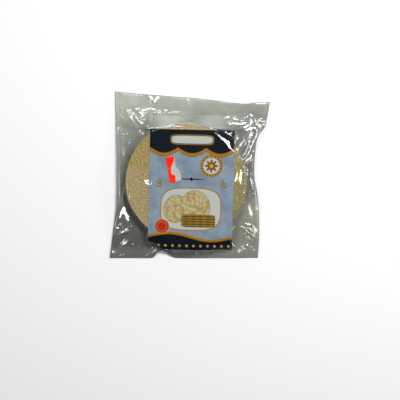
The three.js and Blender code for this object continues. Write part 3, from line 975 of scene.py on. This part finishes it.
# Places where the film is flat enough to mirror a light whole: how wide they are to each side, and where they
# run, in millimetres.
GLINTS = [
    (2.3, [(-50, 101.5), (-48, 97.3), (-45, 93)]),
    (2.1, [(-37.7, 100.8), (-41, 96), (-43, 92.6)]),
    (1.8, [(42.4, 45), (47.1, 40.3), (50.6, 34.6)]),
    (1.6, [(59.6, 2.4), (57, -7)]),
    (1.7, [(64.4, 4), (63.1, -2), (63.9, -9.5)]),
    (2.4, [(-82.3, -41.5), (-85.2, -46.4), (-87.2, -52)]),
    (2.4, [(-82, -43), (-79.3, -50.8), (-77.1, -56)]),
    (1.6, [(-54.6, -5.6), (-52.5, -9), (-49.4, -11.2)]),
]
GLINT_FADE = 1.2


def loose_places(draws, count):
    """Places in the film, at random, off the stack, the card and the loops, and away from the glints."""
    while count:
        x, y = draws.uniform(*LOOSE_ACROSS), draws.uniform(*LOOSE_UP)
        over_card = (abs(x - CARD_CENTRE[0] / MM) < CARD_WIDTH / MM / 2 + CARD_ROOM[0]
                     and abs(y - CARD_CENTRE[1] / MM) < CARD_LENGTH / MM / 2 + CARD_ROOM[1])
        at_loops = x > LOOPS_CORNER[0] and y > LOOPS_CORNER[1]
        at_glint = any(math.hypot(x - u, y - v) < GLINT_ROOM for _, route in GLINTS for u, v in route)
        if not (over_card or past_stack(x, y) < 0 or at_loops or at_glint):
            count -= 1
            yield x, y


def small_creases(draws):
    """Short bowed creases at random, each as steepness, reach, painted glint strength, width of its line and
    route.
    """
    for x, y in loose_places(draws, SMALL_CREASES):
        heading, length = draws.uniform(0, math.pi), draws.uniform(*SMALL_LENGTHS)
        across, up = math.cos(heading) * length / 2, math.sin(heading) * length / 2
        bow = draws.uniform(*SMALL_BOWS)
        route = [(x - across, y - up), (x - bow * up, y + bow * across), (x + across, y + up)]
        steepness, reach = draws.uniform(*SMALL_STEEPNESSES), draws.uniform(*SMALL_SIDES)
        yield steepness, reach, draws.uniform(*SMALL_PAINTED_GLINTS), SMALL_LINE, route


def near_route(places, front, route, reach):
    """The points of the front film that lie in the box round a route, with reach to spare."""
    low, high = route.min(axis=0) - reach, route.max(axis=0) + reach
    return np.flatnonzero(((places > low) & (places < high)).all(axis=1) & front)


def tapered(share, end):
    """1 along the middle of a route, falling to 0 over a share of its length at each end."""
    return between((0, end), (1 - end, 1), share)


def crease(piece):
    """Raises the sharp creases from the front film, and marks the glints painted on their lines. ridge is how
    far a point lies from the line of the nearest crease, with a sign for its side: 1 and -1 are the line's
    edges."""
    points = points_of(piece)
    front = layers_of(piece) < 0.5
    places = points[:, :2] / MM
    rise, painted_glint = np.zeros(len(points)), np.zeros(len(points))
    ridge, nearest = np.full(len(points), FAR_FROM_LINE), np.full(len(points), np.inf)
    creases = [(CREASE_STEEPNESS, CREASE_SIDE + width, glint_paint, width, route)
               for glint_paint, width, route in CREASES]
    creases += small_creases(random.Random(SMALL_SEED))
    for steepness, reach, glint_paint, width, route in creases:
        route = smooth_route(route)
        near = near_route(places, front, route, reach)
        distance, side, share = along_route(places[near], route)
        body = tapered(share, SIDE_TAPER)
        rise[near] = np.maximum(rise[near], steepness * np.maximum(0, reach - distance) * body)
        first = distance < nearest[near]
        closest = near[first]
        nearest[closest] = distance[first]
        ridge[closest] = (side * distance / (width * (LINE_END + (1 - LINE_END) * body)))[first]
        fade = falling(width + LINE_FADE[0], width + LINE_FADE[1], distance)
        # Painted glint: how bright the crease's line is painted, dying out at its ends.
        painted_glint[closest] = (glint_paint * tapered(share, LINE_TAPER) * fade)[first]
    points[:, 2] += rise * MM
    move_points(piece, points)
    mark_points(piece, "ridge", ridge)
    mark_points(piece, "painted_glint", painted_glint)


def mirror_slope(place, light):
    """How steeply the film rises in X and in Y where it mirrors a light to the camera."""
    half = (camera_place() - place).normalized() + (Vector(light) - place).normalized()
    return np.array([-half.x / half.z, -half.y / half.z])


def flatten_glints(piece):
    """Makes the film flat at the glints, turned to mirror the light that it leans to most. It only rises."""
    points = points_of(piece)
    front = layers_of(piece) < 0.5
    for width, route in GLINTS:
        route = smooth_route(route)
        near = near_route(points[:, :2] / MM, front, route, width + GLINT_FADE)
        distance = along_route(points[near, :2] / MM, route)[0]
        inside = distance < width
        held = points[near[inside]]
        fit = np.column_stack([held[:, :2], np.ones(len(held))])
        lean = np.linalg.lstsq(fit, held[:, 2], rcond=None)[0][:2]
        slopes = [mirror_slope(Vector(held.mean(axis=0)), light_place) for _, light_place, _, _ in LIGHTS]
        slope = min(slopes, key=lambda found: np.hypot(*(found - lean)))
        plane = points[near, :2] @ slope
        plane += (held[:, 2] - plane[inside]).max()
        weight = falling(width, width + GLINT_FADE, distance)
        points[near, 2] += weight * np.maximum(0, plane - points[near, 2])
    move_points(piece, points)


# How milky the film is where it lies on the card or the papads, and how much more it is in the band at the
# top, on the slope below it, there above the card, at the right and along the weld at the bottom.
CLEAR_HAZE = 0.003
# On the slope and above the card, the milkiness is partly the bunched film's and partly painted sheen.
BAND_HAZE, SLOPE_HAZE_AND_SHEEN, ABOVE_CARD_HAZE_AND_SHEEN, RIGHT_HAZE, LOW_HAZE = 0.22, 0.2, 0.65, 0.1, 0.1
# The back's, under the stack and beside it, and both films' along the cut edge, with how dark they are there.
UNDER_STACK_HAZE, BACK_HAZE = 0.1, 0.9
EDGE_HAZE, EDGE_SHADE = 0.9, 0.65
# How pale the film's milkiness is up the bag, paler towards the top by painted light and darker towards the
# bottom by painted shade, as pairs of a height in millimetres and a paleness.
MILK_TONE_AND_PAINTED_SHADING_UP_BAG = [(-85, 0.1), (-60, 0.13), (0, 0.2), (50, 0.27), (62, 0.31), (78, 0.4), (95, 0.5)]
# The same along the weld at the bottom, from left to right, darkest below the card by painted shade.
LOW_MILK_TONE_AND_PAINTED_SHADE = [(-90, 0.16), (-40, 0.14), (-10, 0.12), (20, 0.17), (45, 0.24), (80, 0.28)]


def cloud_film(piece, sides):
    """Marks how milky the film is, and how pale and how warm its milkiness, from place to place, with painted
    light and shade in how pale it is. The back is the milkier, but not where the stack lies on it, and both
    are dark and dull along the cut edge. Places are in millimetres, as the soft edges between two of them."""
    points = points_of(piece)
    x, y = points[:, 0] / MM, points[:, 1] / MM
    flat = flattened(points)
    uneven, speckled = waves(flat, 30 * MM, 8), waves(flat, 9 * MM, 3)
    past_rim = past_stack(x, y)
    band = smoothstep(73, 80, y)
    card_top = (CARD_CENTRE[1] + CARD_LENGTH / 2) / MM + 0.3 + math.tan(CARD_TURN) * x
    above_card = between((-70, -25), (35, 75), x) * smoothstep(-3.6, -0.6, past_rim)
    slope = (SLOPE_HAZE_AND_SHEEN + ABOVE_CARD_HAZE_AND_SHEEN * above_card) * smoothstep(0, 2.5, y - card_top) * (1 - band)
    right = smoothstep(57, 66, x) * (1 - band)
    low = falling(-96, -88, y)
    haze = CLEAR_HAZE + BAND_HAZE * band + slope + RIGHT_HAZE * right + LOW_HAZE * low
    back_haze = UNDER_STACK_HAZE + (BACK_HAZE - UNDER_STACK_HAZE) * smoothstep(-7, 0, past_rim)
    haze = np.where(layers_of(piece) > 0.5, back_haze, haze * (1 + 0.3 * uneven))

    # Paler at the left of the band, on the slope by painted sheen, at the lower right and along the left
    # side.
    pale = np.interp(y, *zip(*MILK_TONE_AND_PAINTED_SHADING_UP_BAG)) - 0.0008 * x * smoothstep(60, 85, y)
    pale += 0.06 * slope + 0.18 * smoothstep(35, 75, x) * falling(-45, -10, y)
    pale += 0.05 * falling(-84, -76, x) * between((-50, -20), (40, 70), y)
    # Darker by painted shade where the stack's shadow falls at the lower left, and uneven all over.
    painted_stack_shadow = falling(2, 12, past_rim) * falling(-60, -20, x + 0.5 * y)
    pale *= (1 - 0.35 * painted_stack_shadow) * (1 + 0.1 * uneven + 0.07 * speckled)
    pale += low * (np.interp(x, *zip(*LOW_MILK_TONE_AND_PAINTED_SHADE)) - pale)
    warm = smoothstep(50, 60, x) * between((-92, -80), (-45, -25), y)

    to_edge = np.minimum.reduce(list(from_edge(points[:, :2], sides).values()))
    edge = falling(0.1 * MM, 0.9 * MM, to_edge)
    haze += edge * (EDGE_HAZE - haze)
    pale *= 1 - EDGE_SHADE * edge
    dull = falling(1.2 * MM, 3 * MM, to_edge)
    for name, values in (("haze", haze), ("milk_tone_and_painted_shading", pale), ("warmth", warm), ("dullness", dull)):
        mark_points(piece, name, values)


# How much of the light the film mirrors straight on and, besides, at a grazing angle, and how far the dull
# edge takes that away. Its milkiness has a cool tint, and a warm one at the lower right, and its crease
# lines a near-white painted glint.
MIRROR_STRAIGHT, MIRROR_GRAZING, MIRROR_POWER, EDGE_DULLNESS = 0.06, 0.85, 5.0, 0.85
FILM_ROUGHNESS = 0.14
COOL_MILK, WARM_MILK, PAINTED_GLINT_WHITE = (0.99, 1.07, 0.92, 1), (1.03, 1.04, 0.78, 1), (0.95, 0.95, 0.95, 1)


def film_finish():
    """Glossy clear film. Where it is milky it scatters a little grey light, and along its sharp creases
    glints are painted in as bright lines, as its attributes say."""
    film = Finish("clear film")
    haze, pale, warm, dull, ridge, painted_glint = (
        film.node("ShaderNodeAttribute", attribute_name=name).outputs["Fac"]
        for name in ("haze", "milk_tone_and_painted_shading", "warmth", "dullness", "ridge", "painted_glint"))
    place = film.place()
    normal = film.bump(film.noise(place, 140, 2, 0.5), 0.3 * MM, 0.12)
    # Painted glints: a bright diffuse line along each crease, broken up by noise, that also makes the film
    # milky there.
    line = film.ranged(film.sums("ABSOLUTE", ridge), 0.5, 1.1, 1.0, 0.0)
    broken = film.ranged(film.noise(place, 330, 2), 0.36, 0.56, 0.45, 1.0)
    line = film.product(film.product(line, painted_glint), broken)
    haze = film.sums("MAXIMUM", haze, line)
    # The milk's tint, scaled by its tone, which carries painted light and shade.
    tint = film.mixed(warm, COOL_MILK, WARM_MILK)
    tint = film.wired("ShaderNodeVectorMath", {"Vector": tint, "Scale": pale}, operation="SCALE").outputs[0]
    milk = film.wired("ShaderNodeBsdfDiffuse", {"Color": film.mixed(line, tint, PAINTED_GLINT_WHITE)})
    body = film.over(haze, film.node("ShaderNodeBsdfTransparent").outputs[0], milk.outputs[0])
    gloss = film.wired("ShaderNodeBsdfAnisotropic",
                       {"Color": (1, 1, 1, 1), "Roughness": FILM_ROUGHNESS, "Normal": normal})
    view = film.wired("ShaderNodeLayerWeight", {"Normal": normal})
    grazing = film.sums("POWER", view.outputs["Facing"], MIRROR_POWER)
    mirror = film.sums("MULTIPLY_ADD", grazing, MIRROR_GRAZING, MIRROR_STRAIGHT)
    mirror = film.product(mirror, film.sums("MULTIPLY_ADD", dull, -EDGE_DULLNESS, 1.0))
    return film.ended(film.over(mirror, body, gloss.outputs[0]))


# ---- What is left of the price sticker ----

# Its sides from top to bottom, in millimetres. The red face is torn to an L, and paper fibre shows beside it.
RED_LEFT = [(-29.8, 22.4), (-27.3, 10.8), (-25.3, 8.8), (-26.5, 6.4), (-25.6, -0.2), (-23.7, -9.7)]
RED_RIGHT = [(-18.4, 23.8), (-19.2, 18), (-22.7, 10), (-22.6, 3.6), (-21, 1), (-17.5, 0.6), (-16.8, -8.4)]
PAPER_LEFT = [(-20.4, 22.6), (-21, 17.6), (-24, 9), (-23.4, 2.5), (-19, -1.5), (-18.4, -8.4)]
PAPER_RIGHT = [(-18.1, 23.2), (-17.8, 18), (-17.2, 13.4), (-14.6, 8.6), (-11.4, 4.1), (-9.9, -0.5),
               (-9.9, -5.9)]
PAPER_THICKNESS = 0.09 * MM
PAPER_LIFT = 0.02 * MM
FIBRE_EDGE = 0.06
SCRAP_COLUMNS, SCRAP_ROWS = 14, 44
# How ragged a scrap's sides and its lower end are, in millimetres.
TORN_SIDE, TORN_END = 0.28, 0.3


def make_scrap(name, left, right, film, lift, seed):
    """A torn scrap of paper that follows the film: a grid between its two sides, with ragged edges."""
    draws = random.Random(seed)
    sides = [resampled(np.array(side[::-1]) * MM, SCRAP_ROWS + 1) for side in (left, right)]
    for side in sides:
        side[:, 0] += [draws.uniform(-TORN_SIDE, TORN_SIDE) * MM for _ in side]
    share = np.linspace(0, 1, SCRAP_COLUMNS + 1)[None, :, None]
    places = (sides[0][:, None, :] * (1 - share) + sides[1][:, None, :] * share).reshape(-1, 2)
    lower_end = places[:SCRAP_COLUMNS + 1]
    lower_end[:, 1] += [draws.uniform(-TORN_END, TORN_END) * MM for _ in lower_end]
    scrap = new_grid(name, SCRAP_COLUMNS, SCRAP_ROWS)
    move_points(scrap, np.column_stack([places, height_on(film, places, -1) + lift]))
    modify(scrap, "thickness", "SOLIDIFY", thickness=PAPER_THICKNESS, offset=1)
    smooth(scrap, 40)
    return scrap


def paper_finish(name, colour, spot_colour, bare, roughness):
    """Sticker paper: a plain colour with fibrous spots. The higher bare is, the fewer they are."""
    paper = Finish(name)
    place = paper.place()
    fibre = paper.ranged(paper.noise(place, 650, 4, 0.7), bare - FIBRE_EDGE, bare + FIBRE_EDGE)
    grain = paper.bump(paper.noise(place, 900, 3), 0.08 * MM, 0.6)
    return paper.opaque(paper.mixed(fibre, colour, spot_colour), roughness, 0.1, grain)


# ---- The camera, the lights and the floor ----


def set_up_camera():
    """Looks down on the pack, a little tilted, with the pack where the photograph has it."""
    bpy.ops.object.camera_add()
    camera = bpy.context.object
    camera.data.lens = camera.data.sensor_width * CAMERA_DISTANCE / PHOTO_SPAN
    camera.location = camera_place()
    camera.rotation_euler = (-CAMERA_TILT, 0, 0)
    bpy.context.scene.camera = camera


def add_light(name, place, size, power):
    bpy.ops.object.light_add(type="AREA", location=place)
    light = bpy.context.object
    light.name = name
    light.data.shape = "RECTANGLE"
    light.data.size, light.data.size_y = size
    light.data.energy = power
    light.rotation_euler = (-Vector(place)).to_track_quat("-Z", "Y").to_euler()


def set_up_studio():
    """The lights, and a white room that is bright low down and dim overhead."""
    for light in LIGHTS:
        add_light(*light)
    world = bpy.data.worlds.new("studio")
    bpy.context.scene.world = world
    world.use_nodes = True
    room = Finish.inside(world.node_tree)
    background = world.node_tree.nodes["Background"]
    background.inputs["Color"].default_value = (1, 1, 1, 1)
    up = room.split(room.node("ShaderNodeTexCoord").outputs["Generated"])[2]
    room.put(room.ranged(up, 0.02, 0.4, 0.6, 0.06), background.inputs["Strength"])
    bpy.context.scene.view_settings.view_transform = "Standard"


def make_floor():
    deselect()
    bpy.ops.mesh.primitive_plane_add(size=6, location=(0, 0, -0.0002))
    floor = named(bpy.context.object, "studio_floor")
    floor.data.materials.append(Finish("studio floor").opaque((0.9, 0.9, 0.9, 1), 0.9))


# ---- Making it all ----

wafer_finish = papad_finish()
wafer_draws = random.Random(4)
for number in range(PAPAD_COUNT):
    wafer = make_papad(number, wafer_draws)
    dress(wafer, wafer_finish)
    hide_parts("sealed_bag")

card = make_card()
dress(card, card_finish())
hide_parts("sealed_bag")

film = make_film(card)
dress(film, film_finish())
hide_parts("sealed_bag")

scraps = [
    ("sticker_torn_paper", PAPER_LEFT, PAPER_RIGHT, PAPER_LIFT,
     paper_finish("torn sticker fibre", linear(188, 186, 180), linear(148, 155, 160), 0.54, 0.9)),
    ("sticker_red_face", RED_LEFT, RED_RIGHT, PAPER_LIFT + PAPER_THICKNESS,
     paper_finish("red sticker face", linear(255, 38, 0), linear(244, 72, 24), 0.72, 0.6))]
for number, (name, left, right, lift, finish) in enumerate(scraps):
    scrap = make_scrap(name, left, right, film, lift, number)
    dress(scrap, finish)
    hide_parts("sticker_remnant")

set_up_camera()
set_up_studio()
make_floor()
